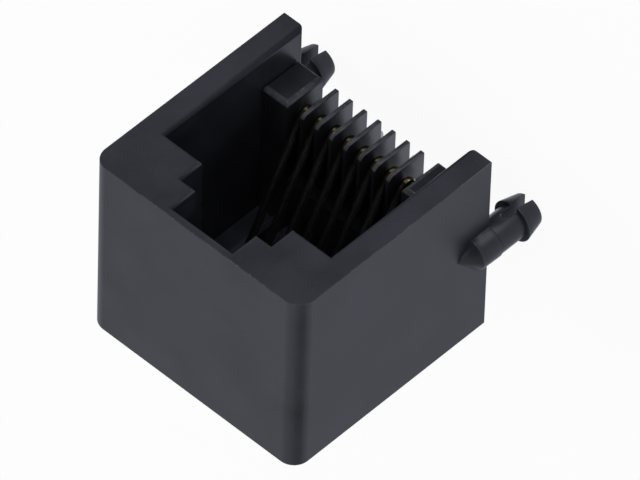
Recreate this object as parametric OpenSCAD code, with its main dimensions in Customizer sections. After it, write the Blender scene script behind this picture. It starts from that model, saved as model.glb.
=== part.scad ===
// Eight-way side-entry board jack for keyed modular plugs.
// The board is the plane Z = 0 and the port looks along -Y.
// The origin lies on the board, midway between the two snap-in pegs.

/* [Housing] */
// Width over the two side walls
body_w = 14.8; // [14.5:0.1:16]
// Height of the top face above the board
body_h = 14.35; // [14.25:0.05:15.5]
// Depth from the front face to the rear face
body_d = 12.6; // [12.6:0.1:15]
// Radius of the two long edges of the top face
top_edge_r = 1; // [0.3:0.1:1.3]
// Radius of the inner corners at the board end of the side walls
wall_end_r = 0.4; // [0.1:0.05:0.6]
// Thickness of the rear wall
rear_wall = 1.2; // [0.8:0.1:1.4]

/* [Port] */
// Width of the port between the side walls
port_w = 11.8; // [11.7:0.05:12.2]
// Height of the shoulders that the plug slides under
shoulder_z = 10.45; // [10:0.05:10.8]
// Width of the keyway for the latch of the plug
key_w = 6.4; // [6.1:0.1:7]
// Height of the keyway
key_z = 12.05; // [11.7:0.05:12.5]
// Width of the slot for the lever of the latch
lever_w = 4.25; // [3.6:0.05:5]
// Height of the lever slot
lever_z = 13.8; // [13.2:0.05:13.9]
// Thickness of the lip that the latch snaps behind
lip_t = 1.8; // [1.2:0.1:2.4]
// Radius of the front edges of the port
lead_r = 0.3; // [0.1:0.05:0.5]

/* [Pegs] */
// Distance from the front face back to the pegs
peg_setback = 6.05; // [5.6:0.05:6.6]
// Diameter of the peg shafts
peg_d = 2; // [1.6:0.05:2.2]
// Width of the step where each peg grows out of the half-round boss on the wall
boss_step = 0.05; // [0.04:0.01:0.2]
// Amount by which the draft narrows the boss towards its point
boss_draft = 0.06; // [0.02:0.02:0.06]
// Height of the boss up to its pointed end
boss_h = 1.37; // [0.5:0.01:2]
// Height of the pointed end of the boss
boss_point_h = 0.98; // [0.6:0.02:3]
// Thickness of board that the pegs grip
grip_l = 1.78; // [1.6:0.02:2.4]
// Diameter of the barbs at their widest
barb_d = 2.56; // [2.3:0.02:2.8]
// Diameter of the barbs at their tips
barb_tip_d = 1.95; // [1.5:0.05:2.2]
// Length of the barbs
barb_l = 1.24; // [0.8:0.02:2]
// Width of the split through each peg
split_w = 0.48; // [0.3:0.02:0.7]
// Depth of the split from the tip
split_l = 2.05; // [1.4:0.05:2.8]

/* [Contacts] */
// Diameter of the contact wire
wire_d = 0.46; // [0.4:0.02:0.5]
// Spacing of the contacts at the plug
contact_pitch = 1.016; // [1:0.004:1.04]
// Rise of the sprung legs towards the rear
spring_angle = 28; // [24:1:32]
// Radius of the front bend of the contacts
nose_bend_r = 0.42; // [0.4:0.01:0.6]
// Distance from the front face back to the centre of the front bends
nose_setback = 3.22; // [3:0.02:3.5]
// Height of the lower legs above the board
leg_z = 1.85; // [1.4:0.05:1.9]
// Radius of the sideways bends that fan the lower legs out
fan_bend_r = 0.9; // [0.6:0.1:1.2]
// Sideways spacing of neighbouring tails
tail_pitch = 1.27; // [1.2:0.01:1.3]
// Distance between the two rows of tails
row_gap = 2.54; // [2.3:0.02:2.6]
// Distance from the rear face to the rear row of tails
rear_row_inset = 1.47; // [1.2:0.01:1.6]
// Radius of the bend from lower leg to tail
tail_bend_r = 1.3; // [1.2:0.05:1.5]
// Length of the tails below the board's upper face
tail_l = 3.2; // [2.6:0.1:4]
// Length of the chamfer at the end of the tails
tail_chamfer = 0.1; // [0.04:0.02:0.16]

/* [Contact carrier] */
// Distance from the front face back to the comb
comb_setback = 2.13; // [1.8:0.05:2.3]
// Height of the carrier's underside above the board
carrier_z = 0.5; // [0.3:0.05:0.6]
// Height of the comb and of the side rails
rail_z = 3.2; // [3:0.05:3.4]
// Thickness of the ribs between the contacts
rib_t = 0.25; // [0.2:0.01:0.3]
// Length of the ribs
rib_l = 4.4; // [3:0.1:5]
// Radius of the ribs' upper front corners
rib_nose_r = 0.5; // [0.2:0.05:0.8]
// Radius that rounds the front edges of the ribs
rib_edge_r = 0.08; // [0.04:0.01:0.09]
// Radius of the front edges of the end blocks
block_edge_r = 0.3; // [0.1:0.05:0.5]
// Length of the raised rear block
rear_block_l = 4.7; // [4.4:0.1:5]
// Height that the snap lugs stand out
lug_h = 0.3; // [0.2:0.05:0.4]
// Length of the snap lugs
lug_l = 3; // [2:0.1:5]

/* [Hidden] */
$fn = 64;
CONTACTS = 8;
// Play between the carrier and the housing, and around a seated wire
seat_gap = 0.05;
wire_gap = 0.04;
// Surplus that carries a cut past the surface it opens
cut = 1;
// Overlap of the areas that make up one outline
overlap = 0.01;
// Wire that straight legs run into their bends, and what a bend takes off the radius
lap = 0.005;
bend_thinning = 0.005;

front_y = -peg_setback;
rear_y = front_y + body_d;
wall_t = (body_w - port_w) / 2;
cavity_rear_y = rear_y - rear_wall;
barb_z = -grip_l;
peg_tip_z = barb_z - barb_l;
boss_d = peg_d + 2 * boss_step;
boss_top_d = boss_d - boss_draft;

wire_r = wire_d / 2;
nose_y = front_y + nose_setback;
nose_z = leg_z + nose_bend_r;
bar_r = nose_bend_r - wire_r - wire_gap;

carrier_w = port_w - 2 * seat_gap;
comb_y = front_y + comb_setback;
rear_block_y = rear_y - rear_block_l;
comb_w = CONTACTS * contact_pitch;
comb_foot_r = 0.15;
rail_edge_r = 0.1;
// The lower plate starts this far behind the bar that the wires bend around
plate_gap = 0.6;
plate_y = nose_y + bar_r + plate_gap;
rear_row_y = rear_y - rear_row_inset;
front_row_y = rear_row_y - row_gap;
// The wires spread between the comb and the bends of the front row of tails
fan_margin = 0.2;
fan_y = plate_y + fan_margin;
fan_l = front_row_y - tail_bend_r - fan_margin - fan_y;

// Rear comb in the housing that keeps the free ends of the contacts apart
rear_comb_l = 1;
rear_comb_t = 0.36;
tip_gap = 0.4;
tip_y = cavity_rear_y - tip_gap;
tip_cover = 1.2;
function spring_z(y) = nose_z + nose_bend_r / cos(spring_angle) + (y - nose_y) * tan(spring_angle);
rear_comb_z = spring_z(tip_y) + tip_cover;

lug_rise = 1;
lug_land = 0.4;
lug_z = (carrier_z + rail_z - lug_rise) / 2;
lug_gap = 0.1;

function contact_x(i) = ((CONTACTS + 1) / 2 - i) * contact_pitch;
function tail_x(i) = ((CONTACTS + 1) / 2 - i) * tail_pitch;
function tail_y(i) = i % 2 == 0 ? front_row_y : rear_row_y;
// Sideways step of contact i, and the vector between the centres of its two bends
function fan_shift(i) = abs(tail_x(i) - contact_x(i));
function fan_centres(i) = [2 * fan_bend_r - fan_shift(i), fan_l];
function fan_turn(i) = asin(2 * fan_bend_r / norm(fan_centres(i))) - atan2(fan_centres(i).x, fan_l);

// Extrudes an outline drawn as X and Z, from y to y + length
module along_y(y, length) {
    translate([0, y + length, 0])
        rotate([90, 0, 0])
            linear_extrude(length) children();
}

// Extrudes an outline drawn as Y and Z, from x to x + length
module along_x(x, length) {
    translate([x, 0, 0])
        rotate([90, 0, 90])
            linear_extrude(length) children();
}

// Rectangle whose low-X corners have the radii low_r and high_r
module nosed_rectangle(x0, y0, x1, y1, low_r, high_r) {
    big_r = max(low_r, high_r);
    translate([x0 + big_r, y0]) square([x1 - x0 - big_r, y1 - y0]);
    translate([x0, y0 + low_r]) square([big_r + overlap, y1 - y0 - low_r - high_r]);
    translate([x0 + low_r, y0 + low_r]) circle(low_r);
    translate([x0 + low_r, y0]) square([big_r - low_r + overlap, low_r]);
    translate([x0 + high_r, y1 - high_r]) circle(high_r);
    translate([x0 + high_r, y1 - high_r]) square([big_r - high_r + overlap, high_r]);
}

// ---- Housing ----

// Closed outline of the housing, seen from the front
module body_outline() {
    shoulder = body_h - top_edge_r;
    translate([-body_w / 2, 0]) square([body_w, shoulder]);
    translate([-body_w / 2 + top_edge_r, 0]) square([body_w - 2 * top_edge_r, body_h]);
    for (side = [-1, 1])
        translate([side * (body_w / 2 - top_edge_r), shoulder]) circle(top_edge_r);
}

// Tapering edge cut around a port opening of width w and height h
module lead_in(w, h) {
    intersection() {
        translate([0, front_y, -cut])
            linear_extrude(h + lead_r + cut)
                difference() {
                    translate([-w / 2 - lead_r, -cut]) square([w + 2 * lead_r, lead_r + cut]);
                    for (side = [-1, 1])
                        translate([side * (w / 2 + lead_r), lead_r]) circle(lead_r);
                }
        along_x(-w / 2 - lead_r, w + 2 * lead_r)
            translate([front_y, 0])
                difference() {
                    translate([-cut, -cut]) square([lead_r + cut, h + lead_r + cut]);
                    translate([lead_r, h + lead_r]) circle(lead_r);
                }
    }
}

// Everything that the plug and its latch need, open to the front and the board
module port() {
    depth = cavity_rear_y - front_y;
    along_y(front_y - cut, depth + cut) {
        translate([-port_w / 2, -cut]) square([port_w, shoulder_z + cut]);
        translate([-key_w / 2, 0]) square([key_w, key_z]);
        translate([-lever_w / 2, 0]) square([lever_w, lever_z]);
    }
    along_y(front_y + lip_t, depth - lip_t)
        translate([-key_w / 2, 0]) square([key_w, lever_z]);
    lead_in(port_w, shoulder_z);
    lead_in(key_w, key_z);
    lead_in(lever_w, lever_z);
}

// Rounds the inner corner at the board end of each side wall
module wall_end_cut() {
    for (side = [0, 1])
        mirror([side, 0, 0])
            along_y(front_y - cut, body_d + 2 * cut)
                difference() {
                    translate([port_w / 2 - cut, -cut]) square([wall_end_r + cut, wall_end_r + cut]);
                    translate([port_w / 2 + wall_end_r, wall_end_r]) circle(wall_end_r);
                }
}

// Recess in each side wall that a snap lug of the carrier springs into
module lug_recess() {
    for (side = [0, 1])
        mirror([side, 0, 0])
            along_y(-lug_l / 2 - lug_gap, lug_l + 2 * lug_gap)
                polygon([
                    [port_w / 2 - cut, lug_z - seat_gap],
                    [port_w / 2 + lug_h + seat_gap, lug_z - seat_gap],
                    [port_w / 2 + lug_h + seat_gap, lug_z + lug_rise + lug_gap],
                    [port_w / 2 - cut, lug_z + lug_rise + lug_gap]
                ]);
}

// One split snap-in peg with the boss that carries it up the wall
module peg() {
    difference() {
        union() {
            translate([0, 0, barb_z]) cylinder(h = grip_l + boss_h, d = peg_d);
            cylinder(h = boss_h, d1 = boss_d, d2 = boss_top_d);
            translate([0, 0, boss_h]) cylinder(h = boss_point_h, d1 = boss_top_d, d2 = 0);
            translate([0, 0, peg_tip_z]) cylinder(h = barb_l, d1 = barb_tip_d, d2 = barb_d);
        }
        translate([-split_w / 2, -barb_d, peg_tip_z - cut])
            cube([split_w, 2 * barb_d, split_l - split_w / 2 + cut]);
        translate([0, barb_d, peg_tip_z + split_l - split_w / 2])
            rotate([90, 0, 0])
                cylinder(h = 2 * barb_d, d = split_w);
    }
}

// Fins on the rear wall, one at each side of every contact
module rear_comb() {
    z0 = rail_z + seat_gap;
    for (i = [0:CONTACTS])
        along_x((i - CONTACTS / 2) * contact_pitch - rear_comb_t / 2, rear_comb_t)
            polygon([
                [cavity_rear_y - rear_comb_l, z0],
                [cavity_rear_y + seat_gap, z0],
                [cavity_rear_y + seat_gap, rear_comb_z + rear_comb_l],
                [cavity_rear_y, rear_comb_z + rear_comb_l],
                [cavity_rear_y - rear_comb_l, rear_comb_z]
            ]);
}

module housing() {
    color("#2c2d31") {
        difference() {
            union() {
                difference() {
                    along_y(front_y, body_d) body_outline();
                    port();
                    wall_end_cut();
                    // Opening under the rear wall for the end of the carrier
                    translate([-port_w / 2, cavity_rear_y - cut, -cut])
                        cube([port_w, rear_wall + 2 * cut, rail_z + seat_gap + cut]);
                }
                rear_comb();
                for (side = [0, 1])
                    mirror([side, 0, 0])
                        translate([body_w / 2, 0, 0]) peg();
            }
            lug_recess();
        }
    }
}

// ---- Contacts ----

// Straight piece of wire from the origin up, let into the bends at its ends
module wire(length) {
    translate([0, 0, -lap]) cylinder(h = length + 2 * lap, r = wire_r);
}

// Bend about the Z axis from +X on, a touch thinner than the straight wire
module wire_bend(r, angle) {
    rotate_extrude(angle = angle) translate([r, 0]) circle(wire_r - bend_thinning);
}

// Sprung leg and front bend, in the plane of contact i
module upper_leg(i) {
    top = 90 + spring_angle;
    start_y = nose_y + nose_bend_r * cos(top);
    start_z = nose_z + nose_bend_r * sin(top);
    translate([contact_x(i), 0, 0]) {
        translate([0, nose_y, nose_z])
            rotate([90, 0, 90])
                rotate([0, 0, top])
                    wire_bend(nose_bend_r, 270 - top);
        translate([0, start_y, start_z])
            rotate([spring_angle - 90, 0, 0])
                wire((tip_y - start_y) / cos(spring_angle));
    }
}

// Flat leg of contact i, which steps sideways from its comb slot to its tail
module lower_leg(i) {
    x0 = contact_x(i);
    shift = fan_shift(i);
    turn = fan_turn(i);
    oblique = sqrt(norm(fan_centres(i)) ^ 2 - 4 * fan_bend_r ^ 2);
    translate([x0, 0, leg_z])
        mirror([x0 < 0 ? 1 : 0, 0, 0]) {
            translate([0, nose_y, 0])
                rotate([-90, 0, 0])
                    wire(fan_y - nose_y);
            translate([fan_bend_r, fan_y, 0])
                rotate([0, 0, 180 - turn])
                    wire_bend(fan_bend_r, turn);
            translate([fan_bend_r * (1 - cos(turn)), fan_y + fan_bend_r * sin(turn), 0])
                rotate([-90, 0, -turn])
                    wire(oblique);
            translate([shift - fan_bend_r, fan_y + fan_l, 0])
                rotate([0, 0, -turn])
                    wire_bend(fan_bend_r, turn);
            translate([shift, fan_y + fan_l, 0])
                rotate([-90, 0, 0])
                    wire(tail_y(i) - tail_bend_r - fan_y - fan_l);
        }
}

// Bend into the board and the tail below it
module tail(i) {
    translate([tail_x(i), tail_y(i), 0]) {
        translate([0, -tail_bend_r, leg_z - tail_bend_r])
            rotate([90, 0, 90])
                wire_bend(tail_bend_r, 90);
        translate([0, 0, tail_chamfer - tail_l])
            cylinder(h = tail_l - tail_chamfer + leg_z - tail_bend_r + lap, r = wire_r);
        translate([0, 0, -tail_l]) cylinder(h = tail_chamfer, r1 = wire_r - tail_chamfer, r2 = wire_r);
    }
}

module contact(i) {
    color("#c8a04b") {
        upper_leg(i);
        lower_leg(i);
        tail(i);
    }
}

// ---- Contact carrier ----

// Channel in the underside that holds the flat leg of contact i, mitred where the leg bends
module channel(i) {
    turn = fan_turn(i);
    h = wire_r + wire_gap + fan_bend_r * (1 / cos(turn / 2) - 1);
    side = sign(contact_x(i));
    x0 = abs(contact_x(i));
    x1 = abs(tail_x(i));
    y0 = fan_y + fan_bend_r * tan(turn / 2);
    y1 = fan_y + fan_l - fan_bend_r * tan(turn / 2);
    mitre = h * tan(turn / 2);
    inner = [
        [x0 - h, plate_y - cut],
        [x0 - h, y0 + mitre],
        [x1 - h, y1 + mitre],
        [x1 - h, tail_y(i) + h]
    ];
    outer = [
        [x1 + h, tail_y(i) + h],
        [x1 + h, y1 - mitre],
        [x0 + h, y0 - mitre],
        [x0 + h, plate_y - cut]
    ];
    translate([0, 0, carrier_z - cut])
        linear_extrude(leg_z + wire_r + wire_gap - carrier_z + cut)
            mirror([side < 0 ? 1 : 0, 0])
                polygon(concat(inner, outer));
}

// Side rail with the end block of the comb as its nose
module rail() {
    x0 = comb_w / 2;
    x1 = carrier_w / 2;
    intersection() {
        translate([0, 0, carrier_z])
            linear_extrude(rail_z - carrier_z)
                rotate(90)
                    mirror([0, 1])
                        nosed_rectangle(comb_y, x0, rear_y, x1, block_edge_r, rail_edge_r);
        along_x(x0, x1 - x0)
            nosed_rectangle(comb_y, carrier_z, rear_y, rail_z, comb_foot_r, block_edge_r);
    }
}

// Rib of the comb about the plane at x, with its front edges rounded
module rib(x) {
    x0 = x - rib_t / 2;
    y1 = comb_y + rib_l;
    intersection() {
        translate([0, 0, carrier_z])
            linear_extrude(rail_z - carrier_z)
                rotate(90)
                    mirror([0, 1])
                        nosed_rectangle(comb_y, x0, y1, x0 + rib_t, rib_edge_r, rib_edge_r);
        along_x(x0, rib_t)
            nosed_rectangle(comb_y, carrier_z, y1, rail_z, comb_foot_r, rib_nose_r);
    }
}

module snap_lug() {
    along_y(-lug_l / 2, lug_l)
        polygon([
            [carrier_w / 2 - seat_gap, lug_z],
            [carrier_w / 2 + lug_h, lug_z],
            [carrier_w / 2 + lug_h, lug_z + lug_land],
            [carrier_w / 2, lug_z + lug_rise],
            [carrier_w / 2 - seat_gap, lug_z + lug_rise]
        ]);
}

// Rounded bar that the contacts bend around, and the floor behind it
module floor_bar() {
    along_x(-comb_w / 2 - seat_gap, comb_w + 2 * seat_gap) {
        translate([nose_y, nose_z]) circle(bar_r);
        translate([nose_y, nose_z - bar_r]) square([rear_y - nose_y, 2 * bar_r]);
    }
}

module contact_carrier() {
    color("#26272a") {
        difference() {
            union() {
                floor_bar();
                // Lower plate, and the raised block behind it
                translate([-comb_w / 2 - seat_gap, plate_y, carrier_z])
                    cube([comb_w + 2 * seat_gap, rear_y - plate_y, nose_z - carrier_z]);
                translate([-comb_w / 2 - seat_gap, rear_block_y, carrier_z])
                    cube([comb_w + 2 * seat_gap, rear_block_l, rail_z - carrier_z]);
                for (i = [1:CONTACTS - 1]) rib((i - CONTACTS / 2) * contact_pitch);
                for (side = [0, 1])
                    mirror([side, 0, 0]) {
                        rail();
                        snap_lug();
                    }
            }
            for (i = [1:CONTACTS]) channel(i);
        }
    }
}

housing();
contact_carrier();
for (i = [1:CONTACTS])
    contact(i);
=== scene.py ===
import math

import bmesh
import bpy
from mathutils import Euler, Matrix, Vector


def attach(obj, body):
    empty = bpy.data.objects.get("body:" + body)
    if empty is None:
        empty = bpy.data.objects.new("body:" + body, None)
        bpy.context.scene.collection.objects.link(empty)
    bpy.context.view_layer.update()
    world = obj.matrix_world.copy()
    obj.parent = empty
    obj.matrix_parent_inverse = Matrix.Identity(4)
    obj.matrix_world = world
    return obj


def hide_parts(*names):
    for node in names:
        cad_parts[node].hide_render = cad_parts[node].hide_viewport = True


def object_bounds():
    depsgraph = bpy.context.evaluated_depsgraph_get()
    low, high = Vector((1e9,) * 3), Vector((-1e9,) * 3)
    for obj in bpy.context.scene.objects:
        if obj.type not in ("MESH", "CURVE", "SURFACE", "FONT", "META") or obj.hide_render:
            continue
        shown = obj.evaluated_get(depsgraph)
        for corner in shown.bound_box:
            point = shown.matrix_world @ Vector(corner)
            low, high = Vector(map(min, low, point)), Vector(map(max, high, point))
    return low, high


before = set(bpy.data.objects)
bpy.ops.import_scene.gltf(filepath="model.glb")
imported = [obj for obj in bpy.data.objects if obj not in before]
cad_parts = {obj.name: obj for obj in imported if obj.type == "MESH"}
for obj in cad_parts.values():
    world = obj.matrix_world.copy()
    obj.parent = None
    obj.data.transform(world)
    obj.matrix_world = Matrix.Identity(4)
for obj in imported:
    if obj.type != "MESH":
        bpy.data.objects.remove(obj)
cad_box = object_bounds()
scene = bpy.context.scene


# The floor: a sheet of plain pale paper at the tips of the tails, which takes
# the jack's shadow. Gloss alone shows it as a painted reflection: dimmer and
# bluish, darker still in front of the port, with painted white and black spots
# near the pegs, the port and the comb. They light nothing.
class Value:
    """A socket of a material. Sums on values add the Math nodes that work them out."""

    def __init__(self, tree, socket=None):
        self.tree = tree
        self.socket = socket

    def node(self, kind, settings=None, inputs=None, output=0):
        """Adds a node from its type, its settings, and what its sockets hold."""
        made = self.tree.nodes.new(kind)
        for name, setting in (settings or {}).items():
            if name == "stops":
                for place, (position, colour) in enumerate(setting):
                    stops = made.color_ramp.elements
                    stop = stops[place] if place < 2 else stops.new(position)
                    stop.position, stop.color = position, (*colour, 1)
            else:
                setattr(made, name, setting)
        for name, held in (inputs or {}).items():
            if isinstance(held, Value):
                self.tree.links.new(held.socket, made.inputs[name])
            else:
                made.inputs[name].default_value = held
        return Value(self.tree, made.outputs[output] if made.outputs else None)

    def maths(self, operation, first, second):
        return self.node("ShaderNodeMath", {"operation": operation}, {0: first, 1: second})

    def __add__(self, other):
        return self.maths("ADD", self, other)

    def __sub__(self, other):
        return self.maths("SUBTRACT", self, other)

    def __rsub__(self, other):
        return self.maths("SUBTRACT", other, self)

    def __mul__(self, other):
        return self.maths("MULTIPLY", self, other)

    __radd__ = __add__
    __rmul__ = __mul__

    def between(self, low, high, at_low, at_high):
        """Eases from one number to another while this value goes from low to high."""
        return self.node("ShaderNodeMapRange", {"interpolation_type": "SMOOTHSTEP"}, {
            "Value": self, "From Min": low, "From Max": high,
            "To Min": at_low, "To Max": at_high})

    def colour(self, at_none, at_full):
        """One colour where this value is 0, another where it is 1, and mixed between."""
        first, second = [
            held if isinstance(held, Value) else (*held, 1) for held in (at_none, at_full)]
        return self.node(
            "ShaderNodeMix", {"data_type": "RGBA"}, {0: self, 6: first, 7: second}, output=2)

    def distance(self, x, y, stretch):
        """How far this place is from a spot on the floor, counted less along Y by the stretch."""
        flat = self.node(
            "ShaderNodeVectorMath", {"operation": "MULTIPLY"}, {0: self, 1: (1, stretch, 0)})
        return self.node(
            "ShaderNodeVectorMath", {"operation": "DISTANCE"}, {0: flat, 1: (x, y * stretch, 0)},
            output="Value")


def new_material(name):
    """An empty material and a value to build its nodes from."""
    material = bpy.data.materials.new(name)
    material.use_nodes = True
    material.node_tree.nodes.clear()
    return material, Value(material.node_tree)


def surface(values, shader):
    """Shows this shader on the material's surface."""
    values.node("ShaderNodeOutputMaterial", None, {"Surface": shader})


floor_size = 1.2
floor_mesh = bmesh.new()
bmesh.ops.create_grid(floor_mesh, x_segments=1, y_segments=1, size=floor_size / 2)
bmesh.ops.translate(floor_mesh, verts=floor_mesh.verts, vec=(0, 0, cad_box[0].z))
floor = bpy.data.objects.new("floor", bpy.data.meshes.new("floor"))
floor_mesh.to_mesh(floor.data)
floor_mesh.free()
scene.collection.objects.link(floor)

paper_white = 0.8
paper_glow = 0.94
white = (1, 1, 1)
painted_reflection_tint_of_paper = (0.95, 1.0, 1.15)
painted_reflection_in_front, painted_reflection_behind = 0.36, 0.55
front_grey_ends, rear_grey_starts = -0.010, 0.002
# Painted reflections, seen in gloss only: dark spots in front of the port and under the comb's
# noses, and bright spots by the near peg and behind the comb.
painted_dark_reflection_spots = [  # where, stretch along Y, inner and outer edge, what is left of the grey
    (0.0040, -0.0090, 0.80, 0.0040, 0.0065, 0.08),
    (-0.0025, -0.0045, 1.0, 0.0030, 0.0050, 0.20),
]
painted_bright_reflection_spots = [  # where, stretch along Y, inner and outer edge, what is added to the grey
    (-0.0093, -0.0085, 1.0, 0.0015, 0.0050, 1.7),
    (-0.0035, 0.0040, 1.0, 0.0030, 0.0065, 0.6),
]
paper, values = new_material("pale_paper_with_painted_reflections")
seen = values.node("ShaderNodeLightPath", output="Is Camera Ray")
mirrored = values.node("ShaderNodeLightPath", output="Is Glossy Ray")
place = values.node("ShaderNodeTexCoord", output="Object")
depth = values.node("ShaderNodeSeparateXYZ", None, {0: place}, output="Y")
# Painted reflection: how bright gloss shows the paper, less in front of the port.
painted_reflection_level = depth.between(front_grey_ends, rear_grey_starts, painted_reflection_in_front, painted_reflection_behind)
for x, y, stretch, inner, outer, left in painted_dark_reflection_spots:
    painted_reflection_level = painted_reflection_level * place.distance(x, y, stretch).between(inner, outer, left, 1)
for x, y, stretch, inner, outer, added in painted_bright_reflection_spots:
    painted_reflection_level = painted_reflection_level + place.distance(x, y, stretch).between(inner, outer, added, 0)
matt = values.node("ShaderNodeBsdfDiffuse", None, {"Color": (*[paper_white] * 3, 1)})
glow = values.node("ShaderNodeEmission", None, {
    "Color": mirrored.colour(white, painted_reflection_tint_of_paper), "Strength": seen + mirrored * painted_reflection_level})
surface(values, values.node(
    "ShaderNodeMixShader", None, {0: seen * paper_glow + mirrored, 1: matt, 2: glow}))
floor.data.materials.append(paper)


# The tent: white cloth all round, which lights the jack evenly. Gloss alone
# shows it darker towards the port and at the jack's -X side, and bluish: a
# painted reflection, as the light from there is as even as elsewhere.
cloth_light = 0.6
painted_reflection_tint_of_cloth = (0.98, 1.0, 1.09)
painted_dark_towards_port, painted_pale_elsewhere = 0.03, 0.55
dark_towards_port_until, pale_elsewhere_from = -0.3, 0.3
painted_dimming_at_minus_x = 0.45
dimming_full_at_x, dimming_none_at_x = -0.6, -0.2
tent = bpy.data.worlds.new("white_tent_with_painted_reflections")
tent.use_nodes = True
tent.node_tree.nodes.clear()
values = Value(tent.node_tree)
seen = values.node("ShaderNodeLightPath", output="Is Camera Ray")
mirrored = values.node("ShaderNodeLightPath", output="Is Glossy Ray")
direction = values.node("ShaderNodeTexCoord", output="Generated")
across = values.node("ShaderNodeSeparateXYZ", None, {0: direction}, output="X")
depth = values.node("ShaderNodeSeparateXYZ", None, {0: direction}, output="Y")
# Painted reflection: gloss sees the cloth darker towards the port and at -X.
painted_reflection_level = (
    depth.between(dark_towards_port_until, pale_elsewhere_from, painted_dark_towards_port, painted_pale_elsewhere)
    * across.between(dimming_full_at_x, dimming_none_at_x, painted_dimming_at_minus_x, 1))
cloth = values.node("ShaderNodeBackground", None, {
    "Color": mirrored.colour(white, painted_reflection_tint_of_cloth),
    "Strength": cloth_light + seen * (1 - cloth_light) + mirrored * (painted_reflection_level - cloth_light)})
values.node("ShaderNodeOutputWorld", None, {"Surface": cloth})
scene.world = tent


# Two soft studio lamps: a small one low in front of the port, and a larger one
# high at the jack's +X side. Gloss doesn't show them.
def soft_lamp(name, place, size, power):
    """A square area lamp that looks at the middle of the jack."""
    middle = (cad_box[0] + cad_box[1]) / 2
    lamp = bpy.data.objects.new(name, bpy.data.lights.new(name, "AREA"))
    lamp.data.size = size
    lamp.data.energy = power
    lamp.visible_glossy = False
    lamp.location = place
    lamp.rotation_euler = (middle - Vector(place)).to_track_quat("-Z", "Y").to_euler()
    scene.collection.objects.link(lamp)


soft_lamp("front_lamp", (-0.05, -0.40, 0.09), size=0.12, power=0.45)
soft_lamp("side_lamp", (0.30, -0.04, 0.26), size=0.20, power=0.5)


# The camera: a long lens, well back and to the left of the port. It is turned
# on its side, so that the board side of the jack points to the upper right.
azimuth, elevation, roll = -30.546, 29.305, 127.72
camera = bpy.data.objects.new("camera", bpy.data.cameras.new("camera"))
camera.data.sensor_width = 36
camera.data.lens = 761.4
camera.data.clip_start = 0.01
camera.data.clip_end = 3
camera.location = (-0.311555, -0.525890, 0.348901)
upright = Euler((math.radians(90 - elevation), 0, math.radians(azimuth))).to_matrix()
turned = upright @ Matrix.Rotation(math.radians(-roll), 3, "Z")
camera.rotation_euler = turned.to_euler()
scene.collection.objects.link(camera)
scene.camera = camera
scene.view_settings.view_transform = "Standard"


# The housing: one moulding of black glass-filled polyester with a fine sparked
# grain, slightly glossy where the mould was polished. Its edges are worn round
# by the tool and by handling, and are a lighter black: partly wear and partly a
# painted highlight. It snaps into the board with its two pegs.
def moulded(name, node, edge_width, thin_face, materials, in_painted_shade):
    """A copy of a solid with every outer edge rounded, which stands for it. The three
    materials are for its faces; for its edges and thin faces towards the port,
    lighter, with wear and a painted highlight; and for the faces that the last
    test picks, darker as painted shade."""
    same_place = 1e-7
    flat, sharp, crease = [math.radians(angle) for angle in (0.5, 30, 32)]
    towards_port = -0.3
    mesh = bmesh.new()
    mesh.from_mesh(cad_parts[node].data)
    bmesh.ops.remove_doubles(mesh, verts=mesh.verts, dist=same_place)
    bmesh.ops.dissolve_limit(mesh, angle_limit=flat, verts=mesh.verts, edges=mesh.edges)
    mesh.normal_update()
    outer = [edge for edge in mesh.edges if edge.is_convex and edge.calc_face_angle() > sharp]
    bmesh.ops.bevel(
        mesh, geom=outer, offset=edge_width, offset_type="OFFSET", segments=2, profile=0.5,
        affect="EDGES", clamp_overlap=False, material=1)
    for face in mesh.faces:
        face.smooth = True
        # Thin faces that face the port take the lighter edge black: a painted highlight.
        if face.normal.y < towards_port and face.calc_area() < thin_face:
            face.material_index = 1
        # Faces that the test picks take the darkest black: painted shade.
        if in_painted_shade(face, face.calc_center_median()):
            face.material_index = 2
    piece = bpy.data.objects.new(name, bpy.data.meshes.new(name))
    mesh.to_mesh(piece.data)
    mesh.free()
    for material in materials:
        piece.data.materials.append(material)
    piece.data.set_sharp_from_angle(angle=crease)
    shading = piece.modifiers.new("even_shading", "WEIGHTED_NORMAL")
    shading.weight = 100
    shading.keep_sharp = True
    scene.collection.objects.link(piece)
    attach(piece, "root")
    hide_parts(node)
    return piece


def black_plastic(name, base, roughness, flow_scale, grain_scale, wear):
    """Moulded black plastic with cloudy flow marks, a fine grain, and pale flecks of wear."""
    cloudy = 0.34
    cloud_starts, cloud_ends = 0.35, 0.65
    fleck_starts, fleck_ends = 0.60, 0.72
    flow_matt, grain_matt = 0.14, 0.05
    grain_height, grain_strength = 0.00001, 0.12
    scuffed = (0.30, 0.30, 0.31)
    material, values = new_material(name)
    place = values.node("ShaderNodeTexCoord", output="Object")
    flow = values.node("ShaderNodeTexNoise", None, {
        "Vector": place, "Scale": flow_scale, "Detail": 4.0, "Roughness": 0.55})
    grain = values.node("ShaderNodeTexNoise", None, {
        "Vector": place, "Scale": grain_scale, "Detail": 2.0, "Roughness": 0.6})
    darker, lighter = [
        tuple(level * channel for channel in base) for level in (1 - cloudy, 1 + cloudy)]
    clouds = values.node(
        "ShaderNodeValToRGB", {"stops": [(cloud_starts, darker), (cloud_ends, lighter)]},
        {0: flow})
    flecks = grain.between(fleck_starts, fleck_ends, 0, wear)
    bump = values.node("ShaderNodeBump", None, {
        "Strength": grain_strength, "Distance": grain_height, "Height": grain})
    surface(values, values.node("ShaderNodeBsdfPrincipled", None, {
        "Base Color": flecks.colour(clouds, scuffed),
        "Roughness": roughness + flow_matt * flow + grain_matt * grain,
        "IOR": 1.5,
        "Normal": bump,
    }))
    return material


def on_peg_step(face, middle):
    """The step where the pegs grow out of their bosses, level with the board, painted near black
    as painted shade.
    """
    wall_side, step_height = 0.00745, 0.00006
    return abs(middle.x) > wall_side and abs(middle.z) < step_height


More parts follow.
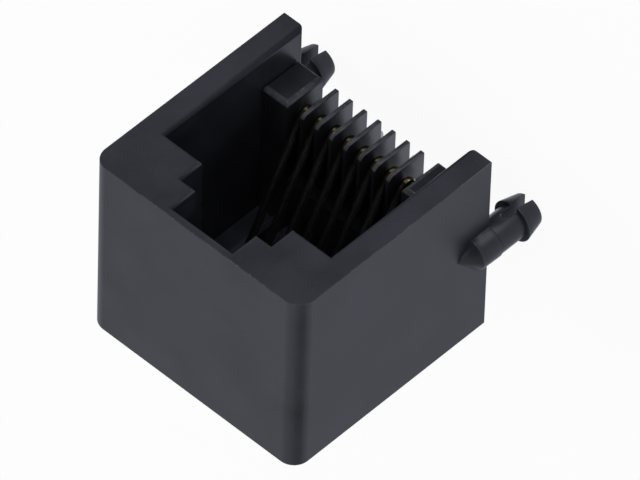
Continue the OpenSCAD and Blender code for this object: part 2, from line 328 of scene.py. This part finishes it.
housing = moulded(
    "moulded_housing", "housing", edge_width=0.00005, thin_face=0,
    materials=(
        black_plastic("moulded_black", (0.019, 0.020, 0.027), 0.25, 260, 5200, wear=0.02),
        black_plastic("worn_black_with_painted_highlight", (0.032, 0.033, 0.041), 0.20, 900, 7000, wear=0.25),
        black_plastic("peg_step_painted_shade", (0.004, 0.004, 0.005), 0.75, 900, 7000, wear=0.0),
    ),
    in_painted_shade=on_peg_step)


# The contact carrier: a second black moulding, of the same kind of plastic from
# another tool, pushed into the housing from the board side. The front edges of
# its ribs and end blocks carry a painted highlight, and the edges behind them
# painted shade.
def behind_comb(face, middle):
    """Edges that run back from the comb, and the outer edges of the end blocks: these get painted
    shade.
    """
    comb_top, comb_front, block_side = 0.0022, -0.0036, 0.0056
    runs_back = middle.z > comb_top and middle.y > comb_front
    return face.material_index == 1 and (runs_back or abs(middle.x) > block_side)


carrier = moulded(
    "moulded_carrier", "contact_carrier", edge_width=0.00003, thin_face=3e-7,
    materials=(
        black_plastic("carrier_black", (0.012, 0.0125, 0.016), 0.23, 420, 6400, wear=0.02),
        black_plastic("carrier_edge_painted_highlight", (0.044, 0.045, 0.053), 0.22, 1600, 7000, wear=0.20),
        black_plastic("carrier_painted_shade", (0.006, 0.006, 0.008), 0.55, 420, 6400, wear=0.0),
    ),
    in_painted_shade=behind_comb)


# The eight contacts: round phosphor bronze wire, drawn, plated and then bent.
# There is a thin gold flash at the bends, nickel shows on the sprung legs, and
# the tails are tinned for soldering. The gold is painted far darker than gold
# flash is, as painted shade on bends that sit deep between the ribs.
# Painted shade: both golds are far darker than gold flash is.
painted_shade_dull_gold, painted_shade_bright_gold = (0.20, 0.165, 0.075), (0.33, 0.265, 0.125)
nickel = (0.70, 0.68, 0.62)
tin = (0.60, 0.60, 0.58)
tin_bottom, tin_top, tin_waver = 0.0002, 0.0005, 0.00012
bend_top, leg_bottom = 0.0026, 0.0036
polished, drawn_matt, tin_matt, leg_matt = 0.12, 0.10, 0.10, 0.06
wire, values = new_material("plated_wire")
place = values.node("ShaderNodeTexCoord", output="Object")
height = values.node("ShaderNodeSeparateXYZ", None, {0: place}, output="Z")
drawn = values.node("ShaderNodeTexNoise", None, {
    "Vector": place, "Scale": 2600, "Detail": 3.0, "Roughness": 0.6})
gold = values.node(
    "ShaderNodeValToRGB", {"stops": [(0.30, painted_shade_dull_gold), (0.70, painted_shade_bright_gold)]}, {0: drawn})
tinned = values.node("ShaderNodeMapRange", {"clamp": True}, {
    "Value": height + tin_waver * drawn, "From Min": tin_bottom, "From Max": tin_top,
    "To Min": 1.0, "To Max": 0.0})
sprung = height.between(bend_top, leg_bottom, 0, 1)
surface(values, values.node("ShaderNodeBsdfPrincipled", None, {
    "Base Color": tinned.colour(sprung.colour(gold, nickel), tin),
    "Metallic": 1.0,
    "Roughness": polished + drawn_matt * drawn + tin_matt * tinned + leg_matt * sprung,
}))
for number in range(1, 9):
    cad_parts[f"contact_{number}"].data.materials[0] = wire
